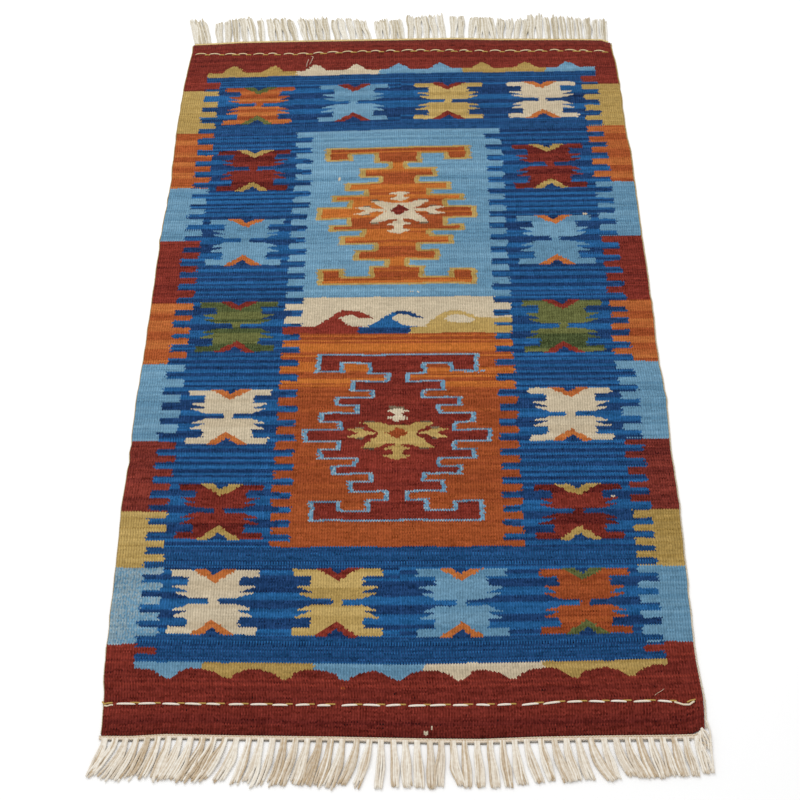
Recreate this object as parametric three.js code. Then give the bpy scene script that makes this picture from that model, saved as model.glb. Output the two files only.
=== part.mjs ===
// A flat-woven wool rug: the tapestry-woven cloth, a twined heading across each end, and the warp ends left as fringe.
// Millimetres, +Z up. X runs across the rug and Y along it, and it lies flat on Z = 0. The near end is at -Y.
import * as THREE from "three";

// Driving sizes
const clothThickness = 3.5;
const headingWidth = 6.6;
const headingThickness = 4;
const fringeThickness = 3;
const seamGap = 0.3;
const tasselCount = 51;
const tasselPitch = 17.67;
const tasselRootWidth = 11;
const tasselTipWidth = 9;
const fringeWebDepth = 2.5;

// The side edges: how far each lies from the centre line, at stations along the rug.
const sideEdges = [
  { along: -740, left: 447.5, right: 456 },
  { along: -705, left: 449.5, right: 458.5 },
  { along: -645, left: 456, right: 454 },
  { along: -485, left: 460.5, right: 458.5 },
  { along: -385, left: 464.5, right: 462.5 },
  { along: -255, left: 463.5, right: 461.5 },
  { along: -175, left: 466.5, right: 466.5 },
  { along: -85, left: 464.5, right: 461.5 },
  { along: 45, left: 463.5, right: 464.5 },
  { along: 185, left: 464.5, right: 463.5 },
  { along: 335, left: 460, right: 464.5 },
  { along: 415, left: 461.5, right: 466 },
  { along: 475, left: 462.5, right: 461.5 },
  { along: 615, left: 460, right: 462.5 },
  { along: 695, left: 455.5, right: 459.5 },
  { along: 725, left: 453, right: 455.5 },
];

// The end edges: how far the weft stops from the middle, at stations across the rug. The last row is the drawn-in corner.
const endEdges = [
  { across: -448, near: 755.5, far: 743 },
  { across: -400, near: 756, far: 745 },
  { across: -350, near: 753, far: 749 },
  { across: -250, near: 755, far: 750.5 },
  { across: -100, near: 757, far: 752.5 },
  { across: 50, near: 760.1, far: 754.1 },
  { across: 120, near: 760.8, far: 754.7 },
  { across: 200, near: 758, far: 751 },
  { across: 300, near: 756.5, far: 749.5 },
  { across: 400, near: 756, far: 747.5 },
  { across: 436, near: 755, far: 746 },
  { across: 449, near: 749, far: 739 },
];

// How the tassels lie, counted from the left: the sideways lean of the tip and its reach along the rug.
const nearTassels = [
  { tassel: 0, lean: -16, reach: 50 },
  { tassel: 1, lean: -24, reach: 55 },
  { tassel: 2, lean: -28, reach: 58 },
  { tassel: 10, lean: -30, reach: 61 },
  { tassel: 11, lean: -8, reach: 64 },
  { tassel: 17, lean: -16, reach: 66 },
  { tassel: 20, lean: -24, reach: 66 },
  { tassel: 22, lean: -14, reach: 66 },
  { tassel: 23, lean: -2, reach: 66 },
  { tassel: 27, lean: 3, reach: 66 },
  { tassel: 28, lean: -3, reach: 66 },
  { tassel: 29, lean: 9, reach: 66 },
  { tassel: 34, lean: -2, reach: 64 },
  { tassel: 35, lean: 13, reach: 61 },
  { tassel: 37, lean: 13, reach: 60 },
  { tassel: 40, lean: 6, reach: 60 },
  { tassel: 41, lean: 17, reach: 60 },
  { tassel: 45, lean: 16, reach: 57 },
  { tassel: 50, lean: 4, reach: 56 },
];
const farTassels = [
  { tassel: 0, lean: -13, reach: 72 },
  { tassel: 1, lean: -15, reach: 64 },
  { tassel: 2, lean: -4, reach: 64 },
  { tassel: 3, lean: -8, reach: 68 },
  { tassel: 7, lean: -17, reach: 70 },
  { tassel: 8, lean: -8, reach: 68 },
  { tassel: 12, lean: -15, reach: 71 },
  { tassel: 13, lean: -9, reach: 72 },
  { tassel: 16, lean: -11, reach: 70 },
  { tassel: 21, lean: -13, reach: 65 },
  { tassel: 22, lean: -8, reach: 66 },
  { tassel: 25, lean: -10, reach: 66 },
  { tassel: 26, lean: -1, reach: 71 },
  { tassel: 30, lean: -8, reach: 72 },
  { tassel: 31, lean: 2, reach: 69 },
  { tassel: 33, lean: 3, reach: 64 },
  { tassel: 36, lean: -7, reach: 62 },
  { tassel: 37, lean: 3, reach: 60 },
  { tassel: 41, lean: 6, reach: 68 },
  { tassel: 46, lean: 8, reach: 64 },
  { tassel: 50, lean: 2, reach: 56 },
];

// The value of one column of a table, straight between its rows.
function valueAt(rows, key, column, place) {
  const above = Math.max(1, rows.findIndex((row) => row[key] >= place));
  const from = rows[above - 1];
  const to = rows[above];
  const share = (place - from[key]) / (to[key] - from[key]);
  return THREE.MathUtils.lerp(from[column], to[column], share);
}

// A closed flat piece lying on Z = 0, from its outline.
function flatPiece(name, points, thickness, look) {
  const geometry = new THREE.ExtrudeGeometry(new THREE.Shape(points), {
    depth: thickness,
    bevelEnabled: false,
  });
  const piece = new THREE.Mesh(geometry, new THREE.MeshStandardMaterial(look));
  piece.name = name;
  return piece;
}

const blueWool = { color: 0x23497a, roughness: 0.95, metalness: 0 };
const undyedCotton = { color: 0xd4c8b7, roughness: 0.95, metalness: 0 };

// The cloth: one sheet, its outline counter-clockwise from the near left corner.
function wovenCloth() {
  const outline = [
    ...endEdges.map((row) => new THREE.Vector2(row.across, -row.near)),
    ...sideEdges.map((row) => new THREE.Vector2(row.right, row.along)),
    ...endEdges.map((row) => new THREE.Vector2(row.across, row.far)).reverse(),
    ...sideEdges.map((row) => new THREE.Vector2(-row.left, row.along)).reverse(),
  ];
  return flatPiece("woven_cloth", outline, clothThickness, blueWool);
}

// A line across the rug that follows one end of the cloth, a little way out from it.
function endLine(end, out) {
  const side = end === "near" ? -1 : 1;
  return endEdges.map((row) => new THREE.Vector2(row.across, side * (row[end] + out)));
}

// The heading: a narrow twined band that locks the last weft. Its outer edge runs parallel to the cloth's end.
function heading(end) {
  const inner = endLine(end, seamGap);
  const outer = endLine(end, seamGap + headingWidth);
  return flatPiece("heading_" + end, [...inner, ...outer.reverse()], headingThickness, undyedCotton);
}

// The fringe: one comb, a thin web along the heading with a leaning tooth for each tassel.
function fringe(end, tassels) {
  const side = end === "near" ? -1 : 1;
  const root = 2 * seamGap + headingWidth;
  const rootAt = (across) => valueAt(endEdges, "across", end, across) + root;
  const foot = (across) => new THREE.Vector2(across, side * (rootAt(across) + fringeWebDepth));
  const teeth = [];
  for (let tassel = 0; tassel < tasselCount; tassel += 1) {
    const middle = (tassel - (tasselCount - 1) / 2) * tasselPitch;
    const tipAcross = middle + valueAt(tassels, "tassel", "lean", tassel);
    const tipAlong = side * (rootAt(middle) + valueAt(tassels, "tassel", "reach", tassel));
    teeth.push(
      foot(middle - tasselRootWidth / 2),
      new THREE.Vector2(tipAcross - tasselTipWidth / 2, tipAlong),
      new THREE.Vector2(tipAcross + tasselTipWidth / 2, tipAlong),
      foot(middle + tasselRootWidth / 2),
    );
  }
  const outline = [...teeth, ...endLine(end, root).reverse()];
  return flatPiece("fringe_" + end, outline, fringeThickness, undyedCotton);
}

const rug = new THREE.Group();
rug.add(
  wovenCloth(),
  heading("near"),
  heading("far"),
  fringe("near", nearTassels),
  fringe("far", farTassels),
);

export default rug;
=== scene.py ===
import bpy
import math
import numpy as np
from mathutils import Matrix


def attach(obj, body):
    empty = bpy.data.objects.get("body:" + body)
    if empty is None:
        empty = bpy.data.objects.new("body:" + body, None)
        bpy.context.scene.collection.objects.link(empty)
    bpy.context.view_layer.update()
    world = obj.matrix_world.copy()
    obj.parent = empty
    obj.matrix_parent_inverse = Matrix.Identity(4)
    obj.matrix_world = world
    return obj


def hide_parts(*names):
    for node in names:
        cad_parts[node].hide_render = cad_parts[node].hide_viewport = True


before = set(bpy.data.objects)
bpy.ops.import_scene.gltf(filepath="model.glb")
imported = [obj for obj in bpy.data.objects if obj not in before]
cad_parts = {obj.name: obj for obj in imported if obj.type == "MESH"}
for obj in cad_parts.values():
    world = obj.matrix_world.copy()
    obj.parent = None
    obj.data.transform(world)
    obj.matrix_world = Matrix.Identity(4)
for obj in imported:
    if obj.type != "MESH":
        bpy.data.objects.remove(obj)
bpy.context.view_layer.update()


# Woven cloth
# The body of the rug is wool weft, beaten down over cotton warps that lie in pairs and show as fine ribs.
# Each colour turns back at its own edge and never crosses the rug, as in all slit-woven kilims.

# The chart of the pattern, from its middle: chart units across, 204 to the width, and picks along
rng = np.random.default_rng(7)
warps, picks = 420, 1044
chart_width = 204
chart_half = chart_width / 2
across = (np.arange(warps) + 0.5) / warps * chart_width - chart_half
along = np.arange(picks) + 0.5 - picks / 2

# The wools, each between its deepest and its palest dye bath, as web codes
wools = {
    "maroon": {"deep": 0x5E1D17, "pale": 0x973B2C},
    "navy": {"deep": 0x12305A, "pale": 0x1F4574},
    "blue": {"deep": 0x194A78, "pale": 0x2767A0},
    "sky": {"deep": 0x507C99, "pale": 0x7FA8C1},
    "faded sky": {"deep": 0x68879A, "pale": 0x9AAFB8},
    "gold": {"deep": 0x957739, "pale": 0xBFA263},
    "plum": {"deep": 0x5E201B, "pale": 0x974032},
    "rust": {"deep": 0x84391B, "pale": 0xA9562A},
    "orange": {"deep": 0xA25228, "pale": 0xC6783D},
    "amber": {"deep": 0xA3501F, "pale": 0xC87733},
    "cream": {"deep": 0xBDAC90, "pale": 0xD5C7AD},
    "green": {"deep": 0x4A532F, "pale": 0x7C7C46},
    "smoke": {"deep": 0x4E4034, "pale": 0x7A6A55},
}
lamp_gain = 1.15


def dye(code):
    """A web code as the wool's own colour, before the lamps brighten it."""
    parts = np.array([(code >> shift & 255) / 255 for shift in (16, 8, 0)])
    return np.where(parts > 0.04045, ((parts + 0.055) / 1.055) ** 2.4, parts / 12.92) / lamp_gain


def drift(rows, columns, size):
    """A smooth unevenness over the cloth, from a few random values."""
    coarse = rng.uniform(-size, size, (rows, columns))
    wide = [np.interp(np.linspace(0, columns - 1, warps), range(columns), line) for line in coarse]
    tall = [np.interp(np.linspace(0, rows - 1, picks), range(rows), line) for line in np.transpose(wide)]
    return np.transpose(tall)


# The weaver's hand: a turn misses its warp now and then, and bars bend by a pick
strips = 21
missed = np.repeat(rng.uniform(-0.45, 0.45, (picks // 2, strips)), 2, 0)
missed += rng.uniform(-0.4, 0.4, (picks, strips))
turns = np.repeat(missed, warps // strips, 1)
plain_column = across[None, :] + np.zeros((picks, 1))
plain_row = along[:, None] + np.zeros((1, warps))
column = plain_column + turns
row = plain_row + drift(60, 30, 0.8)
laid = np.zeros((picks, warps, 3))


def runs(shortest, longest, shades=(0.4, 0.6), soft=0.1):
    """A shade for each pick: one bobbin's run, then the next one's, each a little off."""
    line = []
    while len(line) < picks:
        shade = rng.choice(shades) + rng.uniform(-soft, soft)
        line += [shade] * int(rng.integers(shortest, longest + 1))
    return np.array(line[:picks])[:, None]


def swap(shortest, longest):
    """Whether each pick comes from the first or the second of two bobbins."""
    lengths = rng.integers(shortest, longest + 1, picks)
    return (np.repeat(np.arange(picks), lengths)[:picks] % 2 == 0)[:, None]


def weave(where, wool, shade):
    """Lays one wool wherever a figure is."""
    deep, pale = dye(wools[wool]["deep"]), dye(wools[wool]["pale"])
    colour = deep + (pale - deep) * np.broadcast_to(shade, (picks, warps))[..., None]
    laid[where] = colour[where]


def alternate(where, bobbin, first, second):
    """Lays two wools, each with its shade, by which of two bobbins a pick comes from."""
    weave(where & bobbin, *first)
    weave(where & ~bobbin, *second)


def between(value, low, high):
    """Whether a value lies from low up to high."""
    return (value >= low) & (value < high)


def table(columns, *rows):
    """Rows under named columns. A row may stop before the last ones."""
    return [dict(zip(columns.split(), row)) for row in rows]


# Maroon first, all over: it stays to be seen at the two ends, and every other figure is laid on it
fading_rows = (-522, -488, -476, -440, -400, 400, 522)
fading = np.interp(along, fading_rows, (0.19, 0.21, 0.37, 0.42, 0.37, 0.42, 0.35))
everywhere = row > -picks
weave(everywhere, "maroon", fading[:, None] + runs(1, 3, (-0.13, 0, 0.13), 0.06) + drift(300, 9, 0.12))

# Blue field: striped where it is plain, in patches beside the figures, and mixed pick by pick in between
field_half, field_near, field_far = 92, -446, 450.6
field = (np.abs(column) < field_half) & between(row, field_near, field_far)
for left, right in ((-chart_half, 0), (0, chart_half)):
    here = field & between(plain_column, left, right)
    dark = swap(3, 6)
    shade = runs(2, 4, (0.3, 0.7), 0.2)
    alternate(here, dark, ("navy", shade), ("blue", shade))
figure_rows = {
    "bottom": -377, "low": -265, "low_mid": -137, "middle": -5.3,
    "high_mid": 136.6, "high": 268.7, "top": 393,
}
slits = (-chart_half, -66, -22, 22, 65.5, chart_half)
panel_reach, patch_half = 44, 29
patches = table(
    "row slit first turns",
    ("top", 0, "blue", (38, 20, -1.5, -19)),
    ("top", 1, "navy", (38, 22, 9.5, -1.5, -10, -20)),
    ("top", 2, "navy", (22, 7.5, 1, -12)),
    ("top", 3, "navy", (12, 2, -6.5, -15.5)),
    ("top", 4, "blue", (12, -9, -20)),
    ("bottom", 1, "navy", (12, 3, -7, -18)),
    ("bottom", 2, "blue", (26, 7.5, -2, -13, -25)),
)
for name, middle in figure_rows.items():
    for slit, (left, right) in enumerate(zip(slits, slits[1:])):
        if name not in ("top", "bottom"):
            if slit == 2:
                continue
            left, right = (left, min(right, -panel_reach)) if left < 0 else (max(left, panel_reach), right)
        beside_figure = between(row - middle, rng.integers(3) - patch_half, patch_half)
        here = field & between(plain_column, left, right) & beside_figure
        charted = [patch for patch in patches if patch["row"] == name and patch["slit"] == slit]
        dark = np.broadcast_to(swap(8, 15), (picks, warps))
        if charted:
            passed = np.sum([row - middle < turn for turn in charted[0]["turns"]], 0)
            dark = (passed % 2 == 0) == (charted[0]["first"] == "navy")
        shade = runs(2, 6, (0.3, 0.6), 0.15)
        alternate(here, dark, ("navy", shade), ("blue", shade))
mixtures = table(
    "low high deeper",
    (434, field_far, 0.05),
    (336, 354, 0),
    (-335, -310, 0.08),
    (-444, -413, 0.2),
)
for mixture in mixtures:
    here = field & between(row, mixture["low"], mixture["high"])
    dark = swap(1, 2)
    navy_shade = runs(1, 3, (0.35, 0.9)) - mixture["deeper"]
    blue_shade = runs(1, 2, (0.05, 0.1, 0.6)) - mixture["deeper"]
    alternate(here, dark, ("navy", navy_shade), ("blue", blue_shade))

# Side blocks, toothed against the field
side_blocks = table(
    "wool base teeth left right",
    ("maroon", 423, 0, 0.4, 0.4),
    ("gold", 339, 4, 0.6, 0.55),
    ("orange", 233.5, 5, 0.5, 0.45),
    ("sky", 138, 5, 0.44, 0.33),
    ("maroon", 33, 5, 0.46, 0.34),
    ("orange", -62, 5, 0.5, 0.42),
    ("sky", -172, 5, 0.52, 0.42),
    ("plum", -265.5, 5, 0.38, 0.27),
    ("gold", -335.5, 4, 0.74, 0.38),
    ("sky", -426.5, 5, 0.48, 0.38),
)
tooth_depth = 7
for side, hand in ((-1, "left"), (1, "right")):
    out = side * column
    for above, block in zip(side_blocks, side_blocks[1:]):
        period = (above["base"] - block["base"]) / block["teeth"]
        slipped = above["base"] - row + runs(12, 22, (-1, 0, 1), 0.4)
        tooth = (slipped % period < 0.5 * period) & (out > field_half - tooth_depth)
        where = between(row, block["base"], above["base"]) & ((out > field_half) | tooth)
        if block["wool"] == "orange":
            bobbin = swap(9, 17)
            orange_shade = block[hand] + runs(1, 4, (-0.16, 0.16))
            rust_shade = block[hand] + runs(1, 4, (0.05, 0.4))
            alternate(where, bobbin, ("orange", orange_shade), ("rust", rust_shade))
        else:
            washed = runs(6, 18, (-0.05, 0.05), 0.06) + runs(1, 2, (-0.12, 0.12), 0.12)
            weave(where, block["wool"], block[hand] + washed)
            if hand == "left" and block is side_blocks[-1]:
                bleached = rng.random((picks, warps)) < 0.6 + drift(30, 20, 0.5)
                weave(where & bleached, "faded sky", 0.6 + washed)
    # A short maroon bar closes the column of blocks at each end
    for low, high in ((427, 440), (-437.5, -430)):
        weave(between(row, low, high) & (out > field_half - tooth_depth), "maroon", runs(2, 5, (0.45, 0.6)))

# Scalloped bands across both ends of the field, peaked at the far end and blunt at the near end
bands = table(
    "end line peaks out tall wools",
    (
        1, field_far, (-80, -61, -41, -21.5, -1.5, 18.5, 38.5, 59.3, 79),
        (0, 0.9, 2, 3, 4, 5, 5.8), (21.5, 20.5, 18, 15.5, 12.5, 10, 8.8),
        (("gold", -49.5), ("cream", -10.3), ("sky", 29), ("gold", 68.5), ("sky", field_half)),
    ),
    (
        -1, -field_near, (-80, -59.3, -40, -19.3, -1, 20.2, 37.9, 59.5, 79),
        (0, 1.2, 1.8, 3.2, 5.5, 8, 10), (17.5, 17, 15.5, 12, 8.8, 7.2, 7),
        (("sky", -68.3), ("gold", -29.5), ("sky", 8.2), ("cream", 49.7), ("gold", field_half)),
    ),
)
for band in bands:
    away = np.min([np.abs(column - peak) for peak in band["peaks"]], 0)
    edge = np.interp(away, band["out"], band["tall"]) + drift(60, 60, 0.9)
    inside = between(band["end"] * row, band["line"], band["line"] + edge)
    start = -field_half
    for wool, stop in band["wools"]:
        weave(inside & between(column, start, stop), wool, runs(3, 9))
        start = stop

# Winged figures: half of one, outward from the waist, in picks for a wing of the full height
wing_height = 38
wing_steps = table(
    "until half",
    (3.5, 1.8), (4.5, 9), (5.5, 9.8), (6.5, 10.8), (7.5, 11.8), (8.5, 12.6), (9.5, 13.4), (10.5, 14),
    (11.5, 9.2), (12.5, 9.8), (13.5, 10.6), (14.5, 11.5), (15.5, 12.4), (16.5, 13.2), (18.5, 14.4),
    (29.5, 9.3), (38, 15.9),
)
figures = table(
    "at row up down wool chevron chevron_depth",
    (-66, 393, 35, 37.5, "orange", "green"),
    (-22, 393, 36, 36, "sky", "maroon"),
    (22, 393, 36, 36, "gold", "maroon"),
    (65.5, 393, 36, 36, "cream", "orange"),
    (-66, -375.8, 38, 38.6, "cream", "orange", 16.5),
    (-22, -375.7, 39, 39.3, "gold", "maroon"),
    (22, -377.3, 40, 38.7, "sky", "orange"),
    (65.5, -378.7, 40.7, 36.6, "rust", "green"),
    (-66, 269.6, 34, 42, "maroon", "gold"),
    (65.5, 267.9, 36.4, 44, "maroon", "gold"),
    (-66, 138.4, 36, 42.5, "sky", "orange"),
    (65.5, 134.9, 39, 43, "sky", "orange"),
    (-66, -3.9, 38, 39.4, "green", "maroon"),
    (65.5, -6.7, 39.7, 40, "green", "maroon"),
    (-66, -137.4, 37, 38.3, "cream", "orange"),
    (65.5, -136.5, 36.5, 37, "cream", "orange"),
    (-66, -263.4, 33, 36, "maroon", "gold"),
    (65.5, -266.2, 34, 35, "maroon", "gold"),
)


def stepped(distance, steps):
    """Half the width of a figure at each distance from its middle line, or -1 past its end."""
    ends_at = [step["until"] for step in steps]
    halves = np.array([step["half"] for step in steps] + [-1])
    return halves[np.searchsorted(ends_at, distance, side="right")]


chevron_half = 7.6
figure_shades = {"green": (0, 0.5), "maroon": (0.1, 0.4), "gold": (0.65, 1.05)}
for figure in figures:
    out = np.abs(column - figure["at"])
    rise = row - figure["row"]
    reach = np.where(rise > 0, figure["up"], figure["down"])
    body = out < stepped(np.abs(rise) * wing_height / reach, wing_steps)
    left_over = reach - np.abs(rise)
    top_depth = figure.get("chevron_depth", 14)
    far_chevron, near_chevron = (top_depth, 0.44 * top_depth, 2.6), (16.5, 8, 3.4)
    depth, notch_depth, notch_half = [np.where(rise > 0, *pair) for pair in zip(far_chevron, near_chevron)]
    chevron = (left_over >= -1) & (out < chevron_half * (1 - left_over / depth))
    notch = (left_over >= -1) & (out < notch_half * (1 - left_over / notch_depth))
    if figure["wool"] in ("orange", "rust"):
        bobbin = swap(5, 9)
        brighter = 0.2 if figure["wool"] == "orange" else 0
        own_shade = runs(2, 5, (0.2, 0.45)) + brighter
        rust_shade = runs(2, 5, (0.2, 0.7)) + brighter
        alternate(body, bobbin, (figure["wool"], own_shade), ("rust", rust_shade))
    else:
        weave(body, figure["wool"], runs(4, 12, figure_shades.get(figure["wool"], (0.3, 0.55))))
    weave(chevron, figure["chevron"], runs(3, 8) - (0.25 if figure["chevron"] == "green" else 0))
    weave(notch, "navy", runs(2, 6, (0.3, 0.6), 0.15))

# Centre panel: sky, then a cream strip for the waves, then rust
panel_middle, panel_half, panel_near, panel_far = -1, 39, -309.5, 337
cream_near, cream_far, rust_far = -6.5, 40, -16.7
tooth_period, tooth_height, gap_half = 20.47, 10.4, 0.23
gap_rows = (
    -316, -298, -280.5, -262.5, -244.5, -226.5, -207.5, -188.5, -168,
    -147.5, -127, -106, -82.5, -61, -42, -22, -2,
)
panel_out = np.abs(column - panel_middle)
gap_count = np.interp(row, gap_rows, range(len(gap_rows)))
near_tooth = np.abs(gap_count - gap_count.round()) > gap_half
tooth = np.where(row > cream_near, (panel_far - row) % tooth_period < tooth_height, near_tooth)
panel_edge = panel_half + np.where(tooth, tooth_depth, 0)
panel = between(row, panel_near, panel_far) & (panel_out < panel_edge)
pale_lines = runs(1, 9, (0, 0, 0, 0.22), 0.03) * (runs(1, 4, (0, 1), 0) > 0.5)
deeper_right = np.where(plain_column > 12, -0.1, 0)
sky_shade = runs(3, 9, (0.4, 0.56)) + runs(1, 2, (-0.1, 0.1), 0.06) + pale_lines + deeper_right
weave(panel & (row >= cream_far), "sky", sky_shade)
weave(panel & between(row, cream_near, cream_far), "cream", runs(3, 9, (0.45, 0.55)))

# The rust ground and the fill of the far medallion: how much of the orange bobbin lies in each stretch
grounds = table(
    "from left right",
    (-16.7, 0.7, 0.7),
    (-22, 0.55, 0.55),
    (-48.4, 0.2, 0.2),
    (-59.5, 1, 0.2),
    (-74, 0.1, 0.7),
    (-84.3, 1, 0.3),
    (-91, 0.25, 1),
    (-97, 0.1, 0.15),
    (-101.6, 0, 0),
)
fills = table(
    "from left right",
    (310, 0.1, 0.1),
    (274, 1, 1),
    (257, 0.05, 0.05),
    (233, 1, 1),
    (223.5, 0.2, 0.2),
    (213, 0.4, 1),
    (206.5, 1, 0.2),
    (193, 1, 0.05),
    (174, 0.15, 0.1),
    (154, 1, 0.85),
    (134.5, 0, 0),
    (130.5, 1, 0.9),
    (124, 0.1, 0.1),
    (105.5, 1, 1),
    (90, 0.1, 0.1),
    (68, 0.6, 1),
)


def blend(where, stretches):
    """Lays rust and orange over a ground, pick by pick, in the shares of its stretches."""
    starts = [-stretch["from"] for stretch in stretches]
    which = (np.searchsorted(starts, -row, side="right") - 1).clip(0)
    meeting = runs(4, 10, (-3, 1.5), 2) + 0.35 * np.abs(plain_row % 9 - 4.5)
    lot = runs(1, 3, (0.2, 0.8), 0.2)
    orange_shade, rust_shade = runs(1, 4, (0.45, 0.7), 0.08), runs(1, 4, (0.4, 0.7), 0.08)
    for half, chosen in (("left", plain_column < meeting), ("right", plain_column >= meeting)):
        orange = lot < np.array([stretch[half] for stretch in stretches])[which]
        alternate(where & chosen, orange, ("amber", orange_shade), ("rust", rust_shade))


blend(panel & (row < rust_far), grounds)

# Stepped medallions: half of each, outward from the middle, with hooked boxes on the last bars
upper_steps = table(
    "until half",
    (11, 34.6), (20.5, 21.8), (32, 29.1), (39, 15), (54.5, 23.3), (63, 9.2), (81, 17.2), (89.5, 4.6),
    (106.5, 10.7), (120, 32.4),
)
lower_steps = table(
    "until half",
    (9, 36), (18, 22.7), (32.5, 30), (41, 16.6), (53.8, 24.7), (62, 10.7), (77, 18.3), (86.5, 4.6),
    (100.5, 11.6), (115.5, 32.1),
)


def medallion(steps, middle, centre, hook_from, hook_out, larger_below, stretch):
    """A stepped diamond with a hooked box on each of its last bars. The far bars bend down a little."""
    rise = row - middle - 1.5 * np.abs(panel_out / 33) * (row > middle + 90)
    up = np.abs(rise) / np.where(rise > 0, *stretch)
    out = np.abs(column - centre) - larger_below * between(-rise, 36, 150)
    hooks = between(up, hook_from, steps[-1]["until"]) & between(out, hook_out, steps[-1]["half"])
    return (out < stepped(up, steps)) | hooks


def inside_of(shape, warps_in, picks_in):
    """What is left of a shape inside an outline of that width."""
    left = shape
    for step in range(1, warps_in + 1):
        left = left & np.roll(shape, step, 1) & np.roll(shape, -step, 1)
    deep = left
    for step in range(1, picks_in + 1):
        deep = deep & np.roll(left, step, 0) & np.roll(left, -step, 0)
    return deep


shape = medallion(
    upper_steps, middle=183, centre=-1.6,
    hook_from=94, hook_out=20.5, larger_below=0.9, stretch=(1, 1.025),
)
weave(shape, "gold", runs(3, 9, (0.4, 0.68)) + drift(60, 40, 0.14))
blend(inside_of(shape, 4, 3), fills)
shape = medallion(
    lower_steps, middle=-165.3, centre=-1,
    hook_from=88.5, hook_out=20.6, larger_below=0, stretch=(1.01, 0.975),
)
weave(shape, "sky", runs(2, 5, (0.2, 0.55)) + drift(60, 60, 0.35))
weave(shape & (rng.random((picks, warps)) < 0.22), "faded sky", runs(1, 3, (0.5, 1.1)))
weave(inside_of(shape, 3, 2), "maroon", runs(2, 6, (0.3, 0.48), 0.06) + drift(50, 10, 0.12))

# Stars in the medallions, with an arrow above and below each
far_arrow = table(
    "until half",
    (17.5, 1), (19, 2.4), (20.5, 3.5), (22, 4.2), (23.5, 2.2), (27.5, 1.5), (29, 2.6), (31.5, 4.2),
    (33, 1.8),
)
near_arrow = table(
    "until half",
    (19.5, 1.4), (21.5, 2.4), (23.5, 3.4), (26, 4.7), (28, 2.4), (33.5, 1.9), (35.2, 3), (37.2, 4.8),
    (39.2, 3.4), (41, 2), (42, 0.9),
)
stars = table(
    "wool heart middle centre waist apart arm tips heart_tall near_tall",
    ("cream", "maroon", 186.5, -0.7, 5.4, 5, 2.3, (16.8, 22), 9.5, 1),
    ("gold", "rust", -161.6, -0.9, 6.6, 7.8, 1.8, (14.8, 20), 8.2, 0.88),
)
for star in stars:
    out, rise = np.abs(column - star["centre"]), row - star["middle"]
    up, tip = np.abs(rise), np.where(rise > 0, *star["tips"])
    hollow_end = 0.74 * tip + 1.2 * (out - 4).clip(0)
    cross = (out < star["waist"] + 7.4 * up / tip) & (up < hollow_end) & (up < tip)
    arm_half = np.minimum(star["arm"], 0.7 * (out - star["apart"]) + 0.8)
    arms = between(out, star["apart"], 12) & (up < arm_half)
    heads = between(out, 11, 15.2) & (up < star["arm"] + 1.5 * (out - 11).clip(0, 3))
    tails = between(out, 15, 19.5) & between(up, 1.1 * (out - 14.6), 7 - 0.25 * (out - 15))
    tips = between(out, 8.6, 12.4) & between(up, tip, tip + 2.4)
    barbs = between(out, 12.6, 16) & between(up, 6.3, 8.6)
    crown = (star["wool"] == "gold") & (out < 2.9) & between(rise, 30, 36.5)
    shade = runs(4, 10, (0.4, 0.65)) + (0.2 if star["wool"] == "gold" else 0)
    weave(tips | barbs | crown, "smoke", runs(1, 2, (0.2, 0.9)))
    weave(cross | arms | heads | tails, star["wool"], shade)
    weave(out / 4.1 + up / star["heart_tall"] < 1, star["heart"], runs(3, 6, (0.2, 0.35)))
    weave((rise > 15.5) & (out < stepped(up, far_arrow)), "cream", shade)
    weave((rise < -12) & (out < stepped(up / star["near_tall"], near_arrow)), star["wool"], shade)

# Waves on the cream strip: the top of each crest, the roof over its hollow, and the hollow's floor
waves = table(
    "wool base top roof floor",
    (
        "maroon", (-55, -17),
        ((-34.5, -25.7, -23.5, -16.9, -11.4), (-6, 16.4, 19.6, 18.3, 8)),
        ((-25.3, -21.3, -19.1, -16.4, -11.4), (7, 12.3, 11.8, 7.5, 6.3)),
        ((-25.3, -22.2, -19.1, -11.4), (7, -2, -5.4, -7)),
    ),
    (
        "blue", (-17, 3.9),
        ((-13, -3.6, -2.5, 3.4, 9.2), (-6, 15, 17.6, 18, 8)),
        ((-3.6, -1, 3, 5.6, 9.2), (7.5, 12.8, 12.3, 8.2, 6.3)),
        ((-3.6, -1, 1.7, 9.2), (7.5, -1.5, -4.6, -7)),
    ),
    (
        "gold", (3.9, 60),
        ((10.7, 16.2, 20.6, 23.5, 31.7, 46), (-3, 13.7, 18.4, 18.4, 6.8, 6.8)),
        ((17.4, 19.6, 23, 26.8, 30.2), (5.5, 10.6, 12.2, 9.6, 3)),
        ((17.4, 19.6, 25, 28.5, 30.2), (5.5, 0.5, -1.5, -0.8, 3)),
    ),
)
foot_near, foot_far = -16.75, -6.4
for wave in waves:
    crest_columns, crest = wave["top"]
    body = between(column, crest_columns[0], crest_columns[-1])
    body &= between(row, cream_near, np.interp(column, crest_columns, crest))
    hollow = between(column, wave["roof"][0][0], wave["roof"][0][-1])
    hollow &= between(row, np.interp(column, *wave["floor"]), np.interp(column, *wave["roof"]))
    base = between(row, foot_near, foot_far) & between(column, *wave["base"])
    where = panel & ((body & ~hollow) | base)
    shade = runs(3, 8, (0.4, 0.65)) + (0.25 if wave["wool"] == "gold" else 0)
    weave(where, wave["wool"], shade)
    if wave["wool"] == "blue":
        dark = (plain_row < -8) | ((plain_column > -2) & (plain_row > 5))
        weave(where & dark, "navy", shade)

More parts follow.
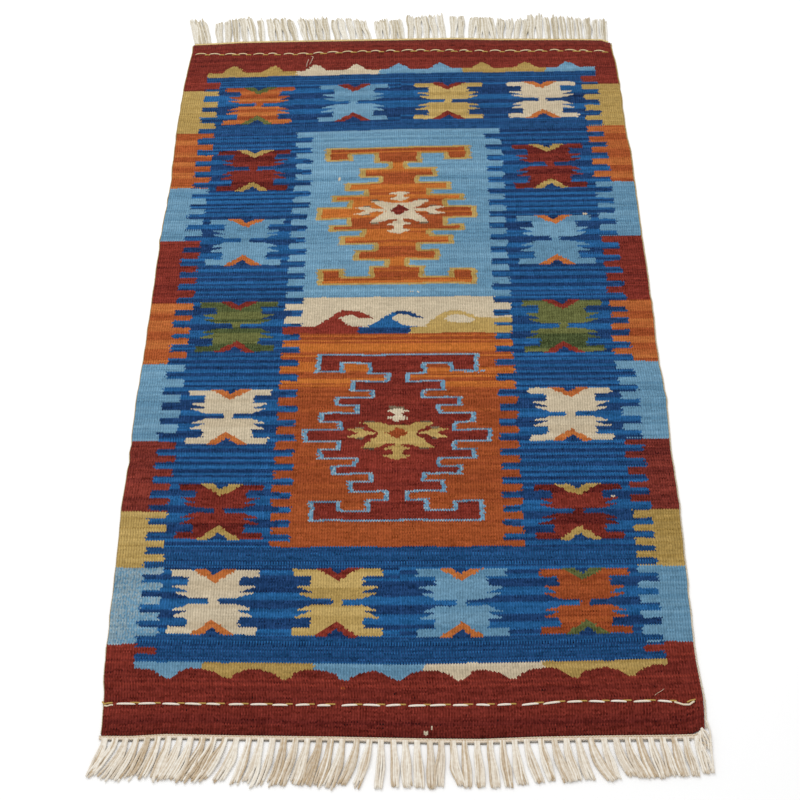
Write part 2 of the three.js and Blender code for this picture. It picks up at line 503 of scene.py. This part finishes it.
# Flecks of other wool, caught in by chance
flecks = table(
    "across along wide tall wool",
    (78.5, -248, 0.8, 1.5, "cream"),
    (79.2, 176.8, 0.8, 1.5, "cream"),
    (81.8, 361.5, 0.8, 1.5, "cream"),
    (-27.5, 245, 0.5, 3.5, "cream"),
    (4.5, 48.5, 0.7, 1, "cream"),
    (7.4, 48, 0.6, 1, "cream"),
    (8, -518, 0.8, 1.8, "cream"),
    (10, -512, 0.3, 1.8, "cream"),
    (-20, -472, 0.8, 1.5, "rust"),
    (-33, -75, 0.8, 1.5, "sky"),
    (32.5, -74, 0.8, 1.5, "sky"),
)
for fleck in flecks:
    near = np.abs(plain_column - fleck["across"]) < fleck["wide"]
    weave(near & (np.abs(plain_row - fleck["along"]) < fleck["tall"]), fleck["wool"], 0.8)

# Hand-spun wool is uneven bead to bead and along each pick; painted light brightens one warp of each pair
# and every other pair
streaks = np.zeros((picks, warps))
for spread, rows, warps_wide in ((0.85, picks, 1), (0.5, picks, 2), (1.1, picks, 6), (0.15, 1, 2)):
    streaks += np.repeat(rng.normal(0, spread, (rows, warps // warps_wide)), warps_wide, 1)
warp = np.arange(warps)
# Painted light: one side of each rib and every other rib are coloured lighter, as if the lamp caught them
# more
painted_light_rib_side, painted_light_alternate_rib = 0.9, 0.4
streaks += (warp % 2 - 0.5) * painted_light_rib_side + (warp // 2 % 2 - 0.5) * painted_light_alternate_rib
# Part of the streaks is painted sheen on the fibre tips: it is stronger on darker dyes and adds a little
# grey to every colour alike
contrast, fuzz_and_sheen_lift, darkest = 0.048, 0.0012, 0.002
depth_of_dye = laid.mean(2, keepdims=True)
unevenness = contrast * streaks[..., None] * (0.5 / depth_of_dye) ** 0.5
laid = (laid * (1 + unevenness) + fuzz_and_sheen_lift * streaks[..., None]).clip(darkest)

# Each pick goes over every second warp, so a bead of wool is two picks high
beads = laid.copy()
odd = (np.arange(picks)[:, None] + np.arange(warps)) % 2 == 1
beads[1:][odd[1:]] = laid[:-1][odd[1:]]

# How the finished cloth lies: its side edges and ends come from the CAD outline
corners = np.array([vertex.co[:2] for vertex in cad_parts["woven_cloth"].data.vertices])
corners = np.unique(corners.round(6), axis=0)
corner_x, corner_y = corners.T
least_x, most_x = 0.4471, 0.4495
sides, ends = {}, {}
for name, sign in (("left", -1), ("right", 1)):
    edge = corners[(sign * corner_x > least_x) & between(corner_y, -0.7401, 0.7301)]
    sides[name] = edge[np.argsort(edge[:, 1])]
for name, sign, least_y in (("near", -1, 0.7485), ("far", 1, 0.7385)):
    edge = corners[(sign * corner_y > least_y) & (np.abs(corner_x) < most_x)]
    ends[name] = edge[np.argsort(edge[:, 0])]

# The wefts wave a little: how far each line of them strays, in millimetres, at places across the rug
stray_at = (-0.400, -0.200, 0, 0.220, 0.400)
near_bent, far_bent = 0.077, 0.93
weft_lines = table(
    "share stray",
    (0, (0, 0, 0, 0, 0)),
    (near_bent, (7, 4, 0, 4, 9)),
    (0.205, (2, 0, 0, 0, 1)),
    (0.5, (0, 0, 0, 0, 0)),
    (0.82, (-11, -7, 0, 0, 3)),
    (far_bent, (-9, -5, 0, 1, 2)),
    (1, (0, 0, 0, 0, 0)),
)
near_middle, far_middle = -0.759, 0.7533

# The room that the edge cords take, by place along the rug, and how far the wefts were drawn in
cord_room = {
    "left": ((-0.76, -0.60, 0.50, 0.76), (0.0014, 0.0013, 0.0020, 0.0022)),
    "right": ((-0.76, -0.70, -0.64, 0.40, 0.76), (0.0050, 0.0035, 0.0026, 0.0026, 0.0030)),
}
pulls, pull_size = 88, 0.0006
pulled_at = np.linspace(near_middle, far_middle, pulls)
pulled = {name: rng.normal(0, pull_size, pulls) for name in ("left", "right")}


def side_at(name, y):
    """One side edge of the rug, a little uneven where the wefts were drawn tight."""
    return np.interp(y, sides[name][:, 1], sides[name][:, 0]) + np.interp(y, pulled_at, pulled[name])


def wool_side_at(name, y):
    """The side of the wool itself, inside the edge cord."""
    room = np.interp(y, *cord_room[name])
    return side_at(name, y) + (room if name == "left" else -room)


def end_at(name, x):
    """Where the weft stops at one end of the rug."""
    return np.interp(x, ends[name][:, 0], ends[name][:, 1])


def lie(u, v):
    """Where points of the cloth come to lie: u across its warps and v along its picks, each from 0 to 1."""
    level = near_middle + v * (far_middle - near_middle)
    x = side_at("left", level) + u * (side_at("right", level) - side_at("left", level))
    shares = [line["share"] for line in weft_lines]
    strays = np.transpose([line["stray"] for line in weft_lines]) / 1000
    stray = np.array([np.interp(v, shares, stray_here) for stray_here in strays])
    low = np.clip(np.searchsorted(stray_at, x) - 1, 0, len(stray_at) - 2)
    place = np.array(stray_at)
    part = ((x - place[low]) / (place[low + 1] - place[low])).clip(0, 1)
    point = np.arange(len(x))
    y = level + stray[low, point] * (1 - part) + stray[low + 1, point] * part
    y += (1 - v / near_bent).clip(0) * (end_at("near", x) - near_middle)
    y += ((v - far_bent) / (1 - far_bent)).clip(0) * (end_at("far", x) - far_middle)
    left, right = wool_side_at("left", y), wool_side_at("right", y)
    return left + u * (right - left), y


def wave_height(x, y):
    """The little the cloth lifts off the floor."""
    swell = np.sin(9 * x + 1.3) * np.sin(7 * y - 0.6) + 0.6 * np.sin(21 * x - 0.4) * np.sin(17 * y + 2)
    return 0.0004 * (1.6 + swell)


cloth_thickness, rib_depth = 0.0035, 0.0008
face_rows, face_columns = 87, warps
bpy.ops.object.select_all(action="DESELECT")
bpy.ops.mesh.primitive_grid_add(x_subdivisions=face_columns, y_subdivisions=face_rows, size=1)
cloth = bpy.context.object
cloth.name = "kilim_cloth"
bpy.ops.object.mode_set(mode="EDIT")
bpy.ops.mesh.extrude_region_move(TRANSFORM_OT_translate={"value": (0, 0, 0.1)})
bpy.ops.object.mode_set(mode="OBJECT")
mesh = cloth.data
flat = np.empty((len(mesh.vertices), 3), np.float32)
mesh.vertices.foreach_get("co", flat.ravel())
u, v = flat[:, 0].astype(float) + 0.5, flat[:, 1].astype(float) + 0.5
on_top = flat[:, 2] > 0.05
in_valley = np.round(u * face_columns).astype(int) % 2 == 0
x, y = lie(u, v)
inset = np.where(in_valley, rib_depth, 0)
z = wave_height(x, y) + np.where(on_top, cloth_thickness - inset, inset)
mesh.vertices.foreach_set("co", np.stack([x, y, z], 1).astype(np.float32).ravel())

# Each face of the mesh holds the colours of a few picks on one warp, which the material lays in turn
corner_vertex = np.empty(len(mesh.loops), np.int32)
mesh.loops.foreach_get("vertex_index", corner_vertex)
starts = np.empty(len(mesh.polygons), np.int32)
mesh.polygons.foreach_get("loop_start", starts)
mean_u = np.add.reduceat(u[corner_vertex], starts) / 4
mean_v = np.add.reduceat(v[corner_vertex], starts) / 4
face_column = np.floor(mean_u * face_columns).astype(int).clip(0, face_columns - 1)
face_row = np.floor(mean_v * face_rows).astype(int).clip(0, face_rows - 1)
picks_each = picks // face_rows
for k in range(picks_each):
    colours = np.ones((len(starts), 4), np.float32)
    colours[:, :3] = beads[face_row * picks_each + k, face_column]
    mesh.attributes.new(f"pick_{k}", "FLOAT_COLOR", "FACE").data.foreach_set("color", colours.ravel())
corner_face = np.repeat(np.arange(len(starts)), 4)
corner_column = face_column[corner_face]
picks_up = (v[corner_vertex] * face_rows - face_row[corner_face]) * picks_each
across_pair = (u[corner_vertex] * face_columns - corner_column + corner_column % 2) / 2
margin = 0.004
bake_place = np.stack([u, v], 1) * (1 - 2 * margin) + margin
for axis, share in enumerate((u, v)):
    at_rim = ~on_top & (np.isclose(share, 0) | np.isclose(share, 1))
    bake_place[at_rim, axis] += np.sign(share[at_rim] - 0.5) * 0.6 * margin
face_maps = {"picks": np.stack([across_pair, picks_up], 1), "OFBake": bake_place[corner_vertex]}
for name, places in face_maps.items():
    mesh.uv_layers.new(name=name).data.foreach_set("uv", places.astype(np.float32).ravel())
mesh.polygons.foreach_set("use_smooth", np.ones(len(starts), bool))
edge_ends = np.empty(2 * len(mesh.edges), np.int32)
mesh.edges.foreach_get("vertices", edge_ends)
edge_ends = edge_ends.reshape(-1, 2)
valley_edge = in_valley[edge_ends].all(1) & np.isclose(u[edge_ends[:, 0]], u[edge_ends[:, 1]])
mesh.attributes.new("sharp_edge", "BOOLEAN", "EDGE").data.foreach_set("value", valley_edge)
mesh.update()


class Shade:
    """A socket of a material, on which shader maths reads as plain arithmetic."""

    def __init__(self, material, socket=None):
        self.material = material
        self.socket = socket

    def node(self, kind, settings=None, sockets=None, out=0):
        """Adds a node: its settings first, then the values or links of its sockets."""
        made = self.material.node_tree.nodes.new(kind)
        for name, value in (settings or {}).items():
            setattr(made, name, value)
        for name, value in (sockets or {}).items():
            if isinstance(value, Shade):
                self.material.node_tree.links.new(value.socket, made.inputs[name])
            else:
                made.inputs[name].default_value = value
        return Shade(self.material, made.outputs[out])

    def maths(self, operation, first, second=0.0):
        """One sum on values."""
        return self.node("ShaderNodeMath", {"operation": operation}, {0: first, 1: second})

    def mix(self, share, first, second):
        """A colour between two, by a share."""
        return self.node("ShaderNodeMix", {"data_type": "RGBA"}, {0: share, 6: first, 7: second}, out=2)

    def __add__(self, other):
        return self.maths("ADD", self, other)

    def __sub__(self, other):
        return self.maths("SUBTRACT", self, other)

    def __rsub__(self, other):
        return self.maths("SUBTRACT", other, self)

    def __mul__(self, other):
        return self.maths("MULTIPLY", self, other)

    def __gt__(self, other):
        return self.maths("GREATER_THAN", self, other)

    __radd__ = __add__
    __rmul__ = __mul__


def new_material(name, sheen):
    """A rough, fibrous surface and its shader."""
    material = bpy.data.materials.new(name)
    material.use_nodes = True
    shader = material.node_tree.nodes["Principled BSDF"]
    shader.inputs["Roughness"].default_value = 0.95
    shader.inputs["Specular IOR Level"].default_value = 0.1
    shader.inputs["Sheen Weight"].default_value = sheen
    shader.inputs["Sheen Roughness"].default_value = 0.6
    return material, shader


wool_cloth, shader = new_material("wool_weft", 0.02)
start = Shade(wool_cloth)
place = start.node("ShaderNodeUVMap", {"uv_map": "picks"})
rib_place = place.node("ShaderNodeSeparateXYZ", None, {0: place})
pick_place = Shade(wool_cloth, rib_place.socket.node.outputs[1])
colour = start.node("ShaderNodeAttribute", {"attribute_name": "pick_0"})
for k in range(1, picks_each):
    next_pick = start.node("ShaderNodeAttribute", {"attribute_name": f"pick_{k}"})
    colour = start.mix(pick_place > k, colour, next_pick)
spot = start.node("ShaderNodeTexCoord", None, None, out=3)
fleece = start.node(
    "ShaderNodeTexNoise", None, {"Vector": spot, "Scale": 420.0, "Detail": 3.0, "Roughness": 0.7},
)
worn = start.node("ShaderNodeTexNoise", None, {"Vector": spot, "Scale": 11.0, "Detail": 4.0})
# The colour is darkened towards each rib's valley: painted shade in the grooves between the ribs
groove = start.maths("ABSOLUTE", rib_place - 0.5) * 2
fleece_contrast, worn_contrast, painted_groove_shade = 0.4, 0.22, 0.31
tone = 1.02 + (fleece - 0.5) * fleece_contrast + (worn - 0.5) * worn_contrast
tone = tone - groove * groove * groove * painted_groove_shade
hue = start.node("ShaderNodeHueSaturation", None, {"Value": tone, "Color": colour})
wool_cloth.node_tree.links.new(hue.socket, shader.inputs["Base Color"])
bead = start.maths("PINGPONG", pick_place, 1.0)
height = fleece * 0.35 + bead * 0.35
bump = start.node("ShaderNodeBump", None, {"Strength": 0.6, "Distance": 0.0006, "Height": height})
wool_cloth.node_tree.links.new(bump.socket, shader.inputs["Normal"])
mesh.materials.append(wool_cloth)
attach(cloth, "root")
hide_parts("woven_cloth")


# Edge cords
# The outermost warp on each side is a cord that the weft only loops round, so it shows bare along the edge.
# It is cotton of two plies, palest and thickest towards the near right corner.

def wound(name, yarns, around, look):
    """One mesh of many yarns, each laid along its path or plied of strands that wind round it."""
    points, faces, tones = [], [], []
    count = 0
    for yarn in yarns:
        path = np.asarray(yarn["path"], float)
        ahead = np.gradient(path, axis=0)
        ahead /= np.linalg.norm(ahead, axis=1)[:, None]
        beside = np.cross(ahead, (0, 0, 1))
        beside /= np.linalg.norm(beside, axis=1)[:, None]
        above = np.cross(beside, ahead)
        run = np.concatenate([[0], np.cumsum(np.linalg.norm(np.diff(path, axis=0), axis=1))])
        angle = (np.arange(around) * math.tau / around)[:, None]
        ring = np.cos(angle) * beside[:, None] + np.sin(angle) * above[:, None]
        thickness = yarn["radius"] * np.broadcast_to(yarn.get("taper", 1), len(path))
        out = yarn.get("out", 0)
        plies = yarn.get("strands", 1)
        for strand in range(plies):
            turn = math.tau * (run / yarn.get("pitch", 1) + strand / plies)
            centre = path + (out * np.cos(turn))[:, None] * beside + (out * np.sin(turn))[:, None] * above
            points.append((centre[:, None] + thickness[:, None, None] * ring).reshape(-1, 3))
            step = np.arange(len(path) - 1)[:, None] * around + count
            here = step + np.arange(around)
            after = step + (np.arange(around) + 1) % around
            faces += np.stack([here, here + around, after + around, after], 2).reshape(-1, 4).tolist()
            last = (len(path) - 1) * around + count
            faces.append([count + k for k in range(around)])
            faces.append([last + k for k in reversed(range(around))])
            tone = np.broadcast_to(yarn.get("tones", (0.5,))[strand], len(path))
            tones.append(np.repeat(tone, around))
            count += len(path) * around
    made = bpy.data.meshes.new(name)
    made.from_pydata(np.concatenate(points).tolist(), [], faces)
    made.attributes.new("tone", "FLOAT", "POINT").data.foreach_set("value", np.concatenate(tones))
    made.polygons.foreach_set("use_smooth", np.ones(len(made.polygons), bool))
    made.materials.append(look)
    made.update()
    piece = bpy.data.objects.new(name, made)
    bpy.context.collection.objects.link(piece)
    return piece


def yarn_material(name, deep, pale, scale):
    """Spun yarn: each strand its own tone, with fibre streaks."""
    material, shader = new_material(name, 0.05)
    start = Shade(material)
    own = start.node("ShaderNodeAttribute", {"attribute_name": "tone"}, None, out=2)
    spot = start.node("ShaderNodeTexCoord", None, None, out=3)
    streak = start.node("ShaderNodeTexNoise", None, {"Vector": spot, "Scale": scale, "Detail": 4.0})
    colour = start.mix(own + (streak - 0.5) * 0.9, (*dye(deep), 1), (*dye(pale), 1))
    material.node_tree.links.new(colour.socket, shader.inputs["Base Color"])
    bump = start.node("ShaderNodeBump", None, {"Strength": 0.4, "Distance": 0.0003, "Height": streak})
    material.node_tree.links.new(bump.socket, shader.inputs["Normal"])
    return material


edge_cotton = yarn_material("edge_cotton", 0xAE9254, 0xE4DBCB, 260.0)
for name, sign, first, last in (("left", -1, -0.752, 0.742), ("right", 1, -0.746, 0.738)):
    cords = []
    stretches = np.linspace(first, last, 9)
    for number, (low, high) in enumerate(zip(stretches, stretches[1:])):
        cord_y = np.linspace(low, high, 60)
        room = np.interp(cord_y, *cord_room[name])
        cord_x = side_at(name, cord_y) - sign * room * 0.45
        cord_path = np.stack([cord_x, cord_y, 0.0012 + room * 0.35], 1)
        pale = {"left": 0.35 - 0.03 * number, "right": 0.85 - 0.12 * number}[name]
        cords.append({
            "path": cord_path,
            "strands": 2,
            "radius": 0.0003 + 0.27 * room.mean(),
            "out": 0.25 * room.mean(),
            "pitch": 0.009,
            "tones": (pale, pale - 0.15),
        })
    edge_cord = wound(f"edge_cord_{name}", cords, 6, edge_cotton)
    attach(edge_cord, "root")


# Twined headings
# Across each end, two rows of cotton cord are twined round the warps to lock the last pick.
# At the near end a thin dark thread runs under the edge of the outer row and shows between the tassels: a
# painted shadow, standing in for the shade the heading casts there.

cotton = yarn_material("undyed_cotton", 0xC9B292, 0xFFF9ED, 200.0)
greyer_cotton = yarn_material("greyer_cotton", 0xC2B69C, 0xF8F4EA, 200.0)
heading_looks = {
    "near": yarn_material("heading_cotton", 0xC9AF84, 0xF9EDDF, 300.0),
    "far": yarn_material("yellow_cotton", 0xDDBE78, 0xF8E8BE, 300.0),
}
# The twined rows in millimetres, with how far out each lies at the left, the middle and the right
twining = table(
    "end out level radius wind pitch tones",
    ("near", (0.9, 2.2, 1.4), 2.6, 1.2, 0.6, 8.8, (0.5, 0.35)),
    ("near", (3.5, 4.8, 4.6), 2.3, 1.8, 0.5, -8.8, (0.7, 0.6)),
    ("far", (1.0, 1.0, 1.0), 3.9, 1.3, 0.7, 7.0, (0.35, 0.25)),
    ("far", (4.2, 4.2, 4.2), 2.2, 1.3, 0.8, -8.8, (0.7, 0.6)),
)
out_at = (-0.44, 0.05, 0.43)
for end, sign in (("near", -1), ("far", 1)):
    cords = []
    for line in twining:
        if line["end"] != end:
            continue
        cord_x = np.linspace(-0.4485, 0.4495, 900)
        cord_y = end_at(end, cord_x) + sign * np.interp(cord_x, out_at, line["out"]) / 1000
        cords.append({
            "path": np.stack([cord_x, cord_y, np.full(len(cord_x), line["level"] / 1000)], 1),
            "strands": 2,
            "radius": line["radius"] / 1000,
            "out": line["wind"] / 1000,
            "pitch": line["pitch"] / 1000,
            "tones": line["tones"],
        })
    heading = wound(f"heading_{end}_twining", cords, 6, heading_looks[end])
    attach(heading, "root")
    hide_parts(f"heading_{end}")
# Painted shadow: a dark thread laid where the heading's shade falls between the tassels
painted_shadow_yarn = yarn_material("painted_shadow_yarn", 0x5F574A, 0x857B69, 300.0)
thread_x = np.linspace(-0.440, 0.430, 400)
thread_y = end_at("near", thread_x) - np.interp(thread_x, out_at, (0.0068, 0.0082, 0.0086))
thread_path = np.stack([thread_x, thread_y, np.full(len(thread_x), 0.0014)], 1)
thread = wound("painted_shadow_thread", [{"path": thread_path, "radius": 0.0005}], 6, painted_shadow_yarn)
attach(thread, "root")


# Running stitches
# A cream cotton cord and a thinner gold one run in and out of the cloth near each end, inside the headings.
# They were left by the weaver, and each stitch stands up as a small arch. Sizes are in millimetres.

stitch_lines = table(
    "end first pitch last arch thick pale gold_off x y",
    (
        "near", -429, 33.9, 400, 0.2, 1.7, 0.85, 1.6,
        (-450, -200, 50, 180, 250, 375, 440), (-707, -710, -712, -711, -707, -706, -708),
    ),
    (
        "far", -446.5, 31.9, 436, 2.2, 1.2, 0.2, -1.6,
        (-450, -220, -100, 50, 230, 350, 445), (713, 711, 717, 719, 714, 715, 710),
    ),
)
stitch_start, stitch_stop, most_stitches, first_near_stitch = -447, 446, 28, 29
cream_stitches, gold_stitches = [], []
for line in stitch_lines:
    for number in range(most_stitches):
        begin = max(line["first"] + line["pitch"] * number + rng.uniform(-2, 2), stitch_start)
        length = rng.uniform(20, 27) if number or line["end"] == "far" else first_near_stitch
        if begin > line["last"]:
            continue
        stitch_x = np.linspace(begin, min(begin + length, stitch_stop), 14)
        lift = np.sin(np.linspace(0, math.pi, 14))
        stitch_y = np.interp(stitch_x, line["x"], line["y"]) + line["arch"] * lift + rng.uniform(-0.5, 0.5)
        stitch_y += np.linspace(-1, 1, 14) * rng.uniform(-0.9, 0.9)
        stitch_z = 4.2 + 1.1 * lift ** 0.5 - 1.6 * (lift < 0.05)
        cream_stitches.append({
            "path": np.stack([stitch_x, stitch_y, stitch_z], 1) / 1000,
            "radius": line["thick"] / 1000,
            "taper": 0.45 + 0.55 * lift ** 0.4,
            "tones": (line["pale"] + rng.uniform(-0.1, 0.1),),
        })
        gold_from = begin + rng.uniform(0.6, 0.9) * length
        gold_x = np.linspace(gold_from, min(begin + length + 7, stitch_stop), 10)
        gold_y = np.interp(gold_x, line["x"], line["y"]) + line["gold_off"]
        gold_z = 4.0 + 0.7 * np.sin(np.linspace(0, math.pi, 10)) ** 0.5
        gold_path = np.stack([gold_x, gold_y, gold_z], 1) / 1000
        gold_stitches.append({"path": gold_path, "radius": 0.0012})
loose_ends = table(
    "wool thick x y z",
    ("gold", 1.3, (-451, -447, -441, -435), (-704, -708, -706.5, -706), (3, 5, 5, 4)),
    ("cream", 1.2, (-447, -443, -438, -434), (-710, -711, -709.5, -709), (4, 5, 5, 4)),
    ("cream", 1.5, (411, 424, 433, 441), (-707, -711.5, -711.5, -706), (4, 5, 5, 4)),
    ("gold", 1.2, (430, 435, 440, 443), (-708, -705.5, -704.5, -703.5), (4, 5, 5, 4)),
    ("cream", 0.25, (383, 387, 393, 398), (-697, -694, -691, -687), (4, 5, 5, 4)),
    ("cream", 0.4, (-202, -201, -198, -199), (672, 681, 688, 691), (4, 7, 9, 8)),
    ("cream", 0.4, (-196, -191, -188, -192), (679, 688, 696, 699), (4, 8, 10, 9)),
)
for loose in loose_ends:
    bend = np.linspace(0, 3, 16)
    path = np.stack([np.interp(bend, range(4), loose[key]) for key in "xyz"], 1) / 1000
    stitches = gold_stitches if loose["wool"] == "gold" else cream_stitches
    stitches.append({"path": path, "radius": loose["thick"] / 1000, "tones": (0.5,)})
stitch_cotton = yarn_material("stitch_cotton", 0xD9BE88, 0xFBF1E4, 300.0)
gold_wool = yarn_material("gold_thread", 0xA8853B, 0xD3AE64, 300.0)
for name, stitches, look in (("cream", cream_stitches, stitch_cotton), ("gold", gold_stitches, gold_wool)):
    stitching = wound(f"stitches_{name}", stitches, 6, look)
    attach(stitching, "root")
    "cotton_warp" if name == "cream" else "wool_weave"


# Fringes
# The warps run on past the headings as soft cotton yarns, seven to a tassel, and are cut by hand.
# They lie as they fell on the floor, in tufts of a few tassels that lean together, measured in millimetres.

near_tufts = table(
    "tassels root tip reach",
    (1, (-440, -440), (-453, -453), (50, 50)),
    (6, (-424, -345), (-454, -360), (55, 60)),
    (5, (-328, -261), (-350, -292), (60, 62)),
    (1, (-243, -243), (-264, -264), (62, 62)),
    (3, (-225, -190), (-241, -204), (64, 65)),
    (6, (-173, -86), (-188, -105), (67, 67)),
    (2, (-65, -46), (-85, -65), (66, 66)),
    (1, (-29, -29), (-32, -32), (69, 69)),
    (3, (-11, 24.5), (-6, 27.5), (69, 69)),
    (2, (43, 60), (47.5, 56), (68, 68)),
    (2, (77, 94.7), (86, 99), (68, 68)),
    (3, (113, 151), (117, 156), (67, 66)),
    (1, (168.6, 168.6), (177, 177), (64, 64)),
    (2, (186.4, 207.8), (203, 219.5), (61, 60)),
    (3, (227, 262.6), (245, 275.6), (61, 61)),
    (2, (281, 300.3), (306, 317), (61, 60)),
    (8, (318, 438.6), (338, 446), (58, 57)),
)
far_tufts = table(
    "tassels root tip reach",
    (3, (-443, -419), (-459, -437), (79, 73)),
    (1, (-394.5, -394.5), (-402, -402), (68, 68)),
    (4, (-376.5, -319), (-382.5, -336), (74, 76)),
    (1, (-302, -302), (-310, -310), (73, 73)),
    (4, (-279, -229), (-290, -244.5), (72, 70)),
    (4, (-206, -160), (-220, -170), (71, 72)),
    (5, (-138, -70), (-149, -83), (68, 64)),
    (4, (-46, 2), (-51.5, -5.6), (63, 64)),
    (5, (21, 93), (20.5, 85), (71, 76)),
    (2, (114, 131), (116, 133), (73, 69)),
    (4, (153, 203), (160, 195), (69, 69)),
    (4, (218, 268), (221, 277), (62, 64)),
    (2, (285, 302), (288, 303), (77, 77)),
    (2, (320, 338), (320, 339), (69, 71)),
    (6, (355, 442), (354, 444), (72, 65)),
)
fringes = table(
    "end side tufts look fall ragged neck spread thick tone",
    ("near", -1, near_tufts, cotton, 1.6, (3, 1), 0.74, 1.28, 1.6, -0.04),
    ("far", 1, far_tufts, greyer_cotton, 1.1, (3.2, 3.2), 1.1, 1.28, 1.75, -0.12),
)
run = np.linspace(0, 1, 26)
yarns_beneath, yarns_on_top = 3, 4
yarn_spacing, yarn_start, layer_lift = 0.0029, 0.0035, 0.0010
yarn_taper = np.interp(run, (0, 0.1, 0.94, 1), (0.85, 1, 1, 0.7))


def swayed(most, quickest):
    """A slow bend along a yarn, of chance size, length and start."""
    size = rng.uniform(0, most)
    return size * np.sin(math.tau * (run * rng.uniform(0.5, quickest) + rng.uniform(0, 1)))


for fringe in fringes:
    yarns = []
    for tuft in fringe["tufts"]:
        places = [np.linspace(*tuft[key], tuft["tassels"]) / 1000 for key in ("root", "tip", "reach")]
        for root, tip, reach in zip(*places):
            lean = tip - root + rng.normal(0, 0.0010)
            reach += rng.normal(0, 0.0012)
            ragged = fringe["ragged"][root > -0.03] / 1000
            waist = fringe["neck"] * rng.uniform(0.8, 0.95)
            open_out = fringe["spread"] * rng.uniform(0.85, 1.15) + 9 * abs(lean)
            last_width = open_out * rng.uniform(0.85, 1.1)
            width = np.interp(run, (0, 0.12, 0.6, 1), (fringe["neck"], waist, open_out, last_width))
            sway = swayed(0.0016, 1.3)
            # Three yarns of a tassel lie beneath and four on top of them, in their gaps
            for warp in range(yarns_beneath + yarns_on_top):
                on_top = warp >= yarns_beneath
                seat = (warp - 4.5 if on_top else warp - 1) * yarn_spacing
                own_sway = swayed(0.0014, 1.8)
                x = root + seat * width + lean * run ** fringe["fall"] + (sway + own_sway) * run ** 0.5
                length = reach + rng.normal(0, ragged)
                y = end_at(fringe["end"], root + seat) + fringe["side"] * (yarn_start + run * length)
                radius = rng.uniform(0.9, 1.1) * fringe["thick"] / 1000 + 0.009 * abs(lean)
                rest = radius + 0.0001 + (layer_lift if on_top else 0)
                rest = rest + 0.0012 * abs(rng.normal()) * np.sin(math.pi * run) ** 2
                # A quarter of the yarns are much darker: partly the cotton's own uneven tone, partly
                # painted shade for the tan lines between the yarns of a tassel
                pale = rng.choice((0.55, 0.84, 0.2), p=(0.35, 0.4, 0.25)) + rng.uniform(-0.08, 0.08)
                dark_tip = rng.choice((0, 0.4), p=(0.75, 0.25)) * (run > 0.9)
                yarns.append({
                    "path": np.stack([x, y, rest + 0.0006 * (1 - run) ** 6], 1),
                    "radius": radius,
                    "taper": yarn_taper,
                    "tones": (pale + fringe["tone"] - dark_tip,),
                })
    piece = wound(f"fringe_{fringe['end']}_yarns", yarns, 8, fringe["look"])
    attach(piece, "root")
    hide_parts(f"fringe_{fringe['end']}")


# Corner knot
# At the near right corner the edge cord and the last warps are tied off together in a loose knot.
# It is laid as a bundle of strands that bend over the last tassel, and a few hang outside it.

knots = table(
    "x y thick tone",
    ((441, 440, 438, 436), (-753, -760, -769, -779), 1.6, 0.6),
    ((443, 443, 443, 441), (-751, -758, -769, -781), 1.6, 0.85),
    ((445, 446, 448, 447), (-749, -757, -768, -780), 1.6, 0.5),
    ((446, 449, 452, 453), (-747, -756, -766, -778), 1.6, 0.8),
    ((447, 452, 456, 458), (-746, -753, -763, -775), 1.6, 0.6),
    ((456, 457.5, 457, 456), (-735, -752, -768, -812), 1.4, 0.7),
    ((438, 444, 450, 455), (-764, -768, -772, -773), 1.2, 0.1),
    ((440, 446, 453, 458), (-758, -761, -766, -768), 1.2, 0.3),
    ((455, 456, 456, 452.5), (-766, -780, -796, -811), 1.4, 0.75),
)
strands = []
for number, knotted in enumerate(knots):
    bend = np.linspace(0, 3, 22)
    knot_x, knot_y = [np.interp(bend, range(4), knotted[key]) / 1000 for key in "xy"]
    knot_x += 0.0005 * np.sin(2.4 * bend + number)
    knot_z = 0.0034 + 0.0014 * np.sin(math.pi * bend / 3) + 0.0003 * (number % 4)
    strands.append({
        "path": np.stack([knot_x, knot_y, knot_z], 1),
        "radius": knotted["thick"] / 1000,
        "tones": (knotted["tone"],),
    })
knot = wound("corner_knot", strands, 6, cotton)
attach(knot, "root")


# Floor, lamp and camera
# A plain white floor in an even white room with one broad lamp overhead, seen from the near end and above.

bpy.ops.object.select_all(action="DESELECT")
bpy.ops.mesh.primitive_plane_add(size=12, location=(0, 0, -0.0002))
floor = bpy.context.object
floor.name = "floor"
paper, shader = new_material("white_floor", 0.0)
shader.inputs["Base Color"].default_value = (0.97, 0.97, 0.97, 1)
floor.data.materials.append(paper)

world = bpy.data.worlds.new("soft_room")
world.use_nodes = True
world.node_tree.nodes["Background"].inputs["Color"].default_value = (1, 1, 1, 1)
world.node_tree.nodes["Background"].inputs["Strength"].default_value = 0.75
bpy.context.scene.world = world

bpy.ops.object.light_add(type="AREA", location=(-0.6, 0.8, 2.6), rotation=(-0.28, -0.22, 0))
lamp = bpy.context.object
lamp.name = "overhead_lamp"
lamp.data.shape = "RECTANGLE"
lamp.data.size = lamp.data.size_y = 2.4
lamp.data.energy = 42

bpy.ops.object.camera_add(location=(0.0209, -1.2361, 1.7145))
camera = bpy.context.object
camera.name = "camera"
camera.rotation_euler = (math.radians(31.931), math.radians(0.718), math.radians(0.041))
camera.data.lens = 51.75
camera.data.sensor_width = 36
bpy.context.scene.camera = camera
bpy.context.scene.view_settings.view_transform = "Standard"
